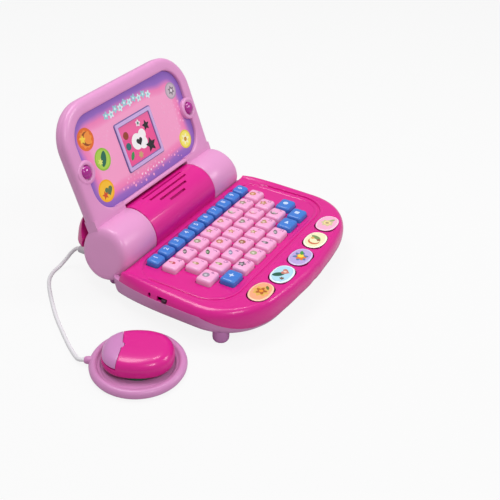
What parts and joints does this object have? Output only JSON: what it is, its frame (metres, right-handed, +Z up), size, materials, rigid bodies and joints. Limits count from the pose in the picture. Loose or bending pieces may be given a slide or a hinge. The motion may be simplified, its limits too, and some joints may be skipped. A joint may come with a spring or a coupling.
{
  "type": "toy laptop computer",
  "caption": "Toy laptop with a rounded pink base, press keys, hinged lid with a small screen, and a wired rocking mouse on a saucer.",
  "frame": {"origin": "on the table, below the middle of the footprint of the laptop and its mouse", "axes": "+X to the user's right along the hinge, +Y away from the user, +Z up"},
  "size_m": [0.311, 0.2209, 0.1628],
  "materials": {
    "magenta": "glossy",
    "lilac": "satin",
    "lid_pink": "satin",
    "key_pink": "satin",
    "key_blue": "satin",
    "print": "printed",
    "clear": "clear",
    "screen": "dull",
    "lamp": "glossy",
    "board": "matte",
    "silicone": "matte",
    "foot": "matte",
    "steel": "bright",
    "cell": "satin",
    "dark": "matte",
    "cord": "matte",
    "button_peach": "satin",
    "button_sky": "satin",
    "button_lilac": "satin",
    "button_cream": "satin",
    "button_pink": "satin"
  },
  "bodies": {
    "base": {"base_top_shell": "magenta", "base_bottom_shell": "lilac", "battery_door": "lilac", "rubber_feet": "foot", "case_screws": "steel", "main_circuit_board": "board", "key_membrane": "silicone", "speaker": "dark", "batteries": "cell", "battery_contacts": "steel", "cord_grommet": "cord", "mouse_cord": "cord"},
    "lid": {"lid_front_frame": "lid_pink", "lid_back_cover": "lid_pink", "picture_panel": "print", "screen_window": "clear", "lcd_module": "screen", "lid_lamps": "lamp"},
    "power_switch": {"power_switch": "dark"},
    "number_key_strip": {"number_key_strip": "key_blue"},
    "mouse_saucer": {"mouse_saucer": "lilac", "mouse_board": "board"},
    "mouse_pivot": {"mouse_pivot": "steel"},
    "mouse_shell": {"mouse_shell": "magenta"},
    "mouse_button": {"mouse_button": "lid_pink"},
    "letter_key_a": {"letter_key_a": "key_pink"},
    "letter_key_b": {"letter_key_b": "key_pink"},
    "letter_key_c": {"letter_key_c": "key_pink"},
    "letter_key_d": {"letter_key_d": "key_pink"},
    "letter_key_e": {"letter_key_e": "key_pink"},
    "letter_key_f": {"letter_key_f": "key_pink"},
    "letter_key_g": {"letter_key_g": "key_pink"},
    "letter_key_h": {"letter_key_h": "key_pink"},
    "letter_key_i": {"letter_key_i": "key_pink"},
    "letter_key_j": {"letter_key_j": "key_pink"},
    "letter_key_k": {"letter_key_k": "key_pink"},
    "letter_key_l": {"letter_key_l": "key_pink"},
    "letter_key_m": {"letter_key_m": "key_pink"},
    "letter_key_n": {"letter_key_n": "key_pink"},
    "letter_key_o": {"letter_key_o": "key_pink"},
    "letter_key_p": {"letter_key_p": "key_pink"},
    "letter_key_q": {"letter_key_q": "key_pink"},
    "letter_key_r": {"letter_key_r": "key_pink"},
    "letter_key_s": {"letter_key_s": "key_pink"},
    "letter_key_t": {"letter_key_t": "key_pink"},
    "letter_key_u": {"letter_key_u": "key_pink"},
    "letter_key_v": {"letter_key_v": "key_pink"},
    "letter_key_w": {"letter_key_w": "key_pink"},
    "letter_key_x": {"letter_key_x": "key_pink"},
    "letter_key_y": {"letter_key_y": "key_pink"},
    "letter_key_z": {"letter_key_z": "key_pink"},
    "function_key_1": {"function_key_1": "key_blue"},
    "function_key_2": {"function_key_2": "key_blue"},
    "function_key_3": {"function_key_3": "key_blue"},
    "function_key_4": {"function_key_4": "key_blue"},
    "picture_button_1": {"picture_button_1": "button_peach"},
    "picture_button_2": {"picture_button_2": "button_sky"},
    "picture_button_3": {"picture_button_3": "button_lilac"},
    "picture_button_4": {"picture_button_4": "button_cream"},
    "picture_button_5": {"picture_button_5": "button_pink"}
  },
  "joints": [
    {"name": "lid_hinge", "type": "hinge", "parent": "base", "child": "lid", "pos_m": [0.0445, 0.0497, 0.04], "axis": [1, 0, 0], "range_deg": [-8, 109]},
    {"name": "mouse_slide", "type": "slide", "parent": "base", "child": "mouse_saucer", "axis": [-1, 0, 0], "range_m": [-0.005, 0.035], "deforming": ["mouse_cord"]},
    {"name": "mouse_rock_pitch", "type": "hinge", "parent": "mouse_saucer", "child": "mouse_pivot", "pos_m": [-0.1165, -0.0338, 0.011], "axis": [0.866, 0.5, 0], "range_deg": [-4, 4], "stiffness_Nm_per_rad": 0.3},
    {"name": "mouse_rock_roll", "type": "hinge", "parent": "mouse_pivot", "child": "mouse_shell", "pos_m": [-0.1165, -0.0338, 0.011], "axis": [-0.5, 0.866, 0], "range_deg": [-4, 4], "stiffness_Nm_per_rad": 0.3},
    {"name": "mouse_button_press", "type": "slide", "parent": "mouse_shell", "child": "mouse_button", "axis": [0, 0, -1], "range_m": [0, 0.001], "stiffness_N_per_m": 300},
    {"name": "power_switch_slide", "type": "slide", "parent": "base", "child": "power_switch", "axis": [0, 1, 0], "range_m": [0, 0.0044]},
    {"name": "number_key_strip_press", "type": "slide", "parent": "base", "child": "number_key_strip", "axis": [0, 0, -1], "range_m": [0, 0.0012], "stiffness_N_per_m": 600, "deforming": ["key_membrane"]},
    {"name": "picture_button_1_press", "type": "slide", "parent": "base", "child": "picture_button_1", "axis": [0, 0, -1], "range_m": [0, 0.0015], "stiffness_N_per_m": 300},
    {"name": "picture_button_2_press", "type": "slide", "parent": "base", "child": "picture_button_2", "axis": [0, 0, -1], "range_m": [0, 0.0015], "stiffness_N_per_m": 300},
    {"name": "picture_button_3_press", "type": "slide", "parent": "base", "child": "picture_button_3", "axis": [0, 0, -1], "range_m": [0, 0.0015], "stiffness_N_per_m": 300},
    {"name": "picture_button_4_press", "type": "slide", "parent": "base", "child": "picture_button_4", "axis": [0, 0, -1], "range_m": [0, 0.0015], "stiffness_N_per_m": 300},
    {"name": "picture_button_5_press", "type": "slide", "parent": "base", "child": "picture_button_5", "axis": [0, 0, -1], "range_m": [0, 0.0015], "stiffness_N_per_m": 300},
    {"name": "function_key_1_press", "type": "slide", "parent": "base", "child": "function_key_1", "axis": [0, 0, -1], "range_m": [0, 0.0015], "stiffness_N_per_m": 300},
    {"name": "function_key_2_press", "type": "slide", "parent": "base", "child": "function_key_2", "axis": [0, 0, -1], "range_m": [0, 0.0015], "stiffness_N_per_m": 300},
    {"name": "function_key_3_press", "type": "slide", "parent": "base", "child": "function_key_3", "axis": [0, 0, -1], "range_m": [0, 0.0015], "stiffness_N_per_m": 300},
    {"name": "function_key_4_press", "type": "slide", "parent": "base", "child": "function_key_4", "axis": [0, 0, -1], "range_m": [0, 0.0015], "stiffness_N_per_m": 300},
    {"name": "letter_key_a_press", "type": "slide", "parent": "base", "child": "letter_key_a", "axis": [0, 0, -1], "range_m": [0, 0.0015], "stiffness_N_per_m": 300},
    {"name": "letter_key_b_press", "type": "slide", "parent": "base", "child": "letter_key_b", "axis": [0, 0, -1], "range_m": [0, 0.0015], "stiffness_N_per_m": 300},
    {"name": "letter_key_c_press", "type": "slide", "parent": "base", "child": "letter_key_c", "axis": [0, 0, -1], "range_m": [0, 0.0015], "stiffness_N_per_m": 300},
    {"name": "letter_key_d_press", "type": "slide", "parent": "base", "child": "letter_key_d", "axis": [0, 0, -1], "range_m": [0, 0.0015], "stiffness_N_per_m": 300},
    {"name": "letter_key_e_press", "type": "slide", "parent": "base", "child": "letter_key_e", "axis": [0, 0, -1], "range_m": [0, 0.0015], "stiffness_N_per_m": 300},
    {"name": "letter_key_f_press", "type": "slide", "parent": "base", "child": "letter_key_f", "axis": [0, 0, -1], "range_m": [0, 0.0015], "stiffness_N_per_m": 300},
    {"name": "letter_key_g_press", "type": "slide", "parent": "base", "child": "letter_key_g", "axis": [0, 0, -1], "range_m": [0, 0.0015], "stiffness_N_per_m": 300},
    {"name": "letter_key_h_press", "type": "slide", "parent": "base", "child": "letter_key_h", "axis": [0, 0, -1], "range_m": [0, 0.0015], "stiffness_N_per_m": 300},
    {"name": "letter_key_i_press", "type": "slide", "parent": "base", "child": "letter_key_i", "axis": [0, 0, -1], "range_m": [0, 0.0015], "stiffness_N_per_m": 300},
    {"name": "letter_key_j_press", "type": "slide", "parent": "base", "child": "letter_key_j", "axis": [0, 0, -1], "range_m": [0, 0.0015], "stiffness_N_per_m": 300},
    {"name": "letter_key_k_press", "type": "slide", "parent": "base", "child": "letter_key_k", "axis": [0, 0, -1], "range_m": [0, 0.0015], "stiffness_N_per_m": 300},
    {"name": "letter_key_l_press", "type": "slide", "parent": "base", "child": "letter_key_l", "axis": [0, 0, -1], "range_m": [0, 0.0015], "stiffness_N_per_m": 300},
    {"name": "letter_key_m_press", "type": "slide", "parent": "base", "child": "letter_key_m", "axis": [0, 0, -1], "range_m": [0, 0.0015], "stiffness_N_per_m": 300},
    {"name": "letter_key_n_press", "type": "slide", "parent": "base", "child": "letter_key_n", "axis": [0, 0, -1], "range_m": [0, 0.0015], "stiffness_N_per_m": 300},
    {"name": "letter_key_o_press", "type": "slide", "parent": "base", "child": "letter_key_o", "axis": [0, 0, -1], "range_m": [0, 0.0015], "stiffness_N_per_m": 300},
    {"name": "letter_key_p_press", "type": "slide", "parent": "base", "child": "letter_key_p", "axis": [0, 0, -1], "range_m": [0, 0.0015], "stiffness_N_per_m": 300},
    {"name": "letter_key_q_press", "type": "slide", "parent": "base", "child": "letter_key_q", "axis": [0, 0, -1], "range_m": [0, 0.0015], "stiffness_N_per_m": 300},
    {"name": "letter_key_r_press", "type": "slide", "parent": "base", "child": "letter_key_r", "axis": [0, 0, -1], "range_m": [0, 0.0015], "stiffness_N_per_m": 300},
    {"name": "letter_key_s_press", "type": "slide", "parent": "base", "child": "letter_key_s", "axis": [0, 0, -1], "range_m": [0, 0.0015], "stiffness_N_per_m": 300},
    {"name": "letter_key_t_press", "type": "slide", "parent": "base", "child": "letter_key_t", "axis": [0, 0, -1], "range_m": [0, 0.0015], "stiffness_N_per_m": 300},
    {"name": "letter_key_u_press", "type": "slide", "parent": "base", "child": "letter_key_u", "axis": [0, 0, -1], "range_m": [0, 0.0015], "stiffness_N_per_m": 300},
    {"name": "letter_key_v_press", "type": "slide", "parent": "base", "child": "letter_key_v", "axis": [0, 0, -1], "range_m": [0, 0.0015], "stiffness_N_per_m": 300},
    {"name": "letter_key_w_press", "type": "slide", "parent": "base", "child": "letter_key_w", "axis": [0, 0, -1], "range_m": [0, 0.0015], "stiffness_N_per_m": 300},
    {"name": "letter_key_x_press", "type": "slide", "parent": "base", "child": "letter_key_x", "axis": [0, 0, -1], "range_m": [0, 0.0015], "stiffness_N_per_m": 300},
    {"name": "letter_key_y_press", "type": "slide", "parent": "base", "child": "letter_key_y", "axis": [0, 0, -1], "range_m": [0, 0.0015], "stiffness_N_per_m": 300},
    {"name": "letter_key_z_press", "type": "slide", "parent": "base", "child": "letter_key_z", "axis": [0, 0, -1], "range_m": [0, 0.0015], "stiffness_N_per_m": 300}
  ]
}
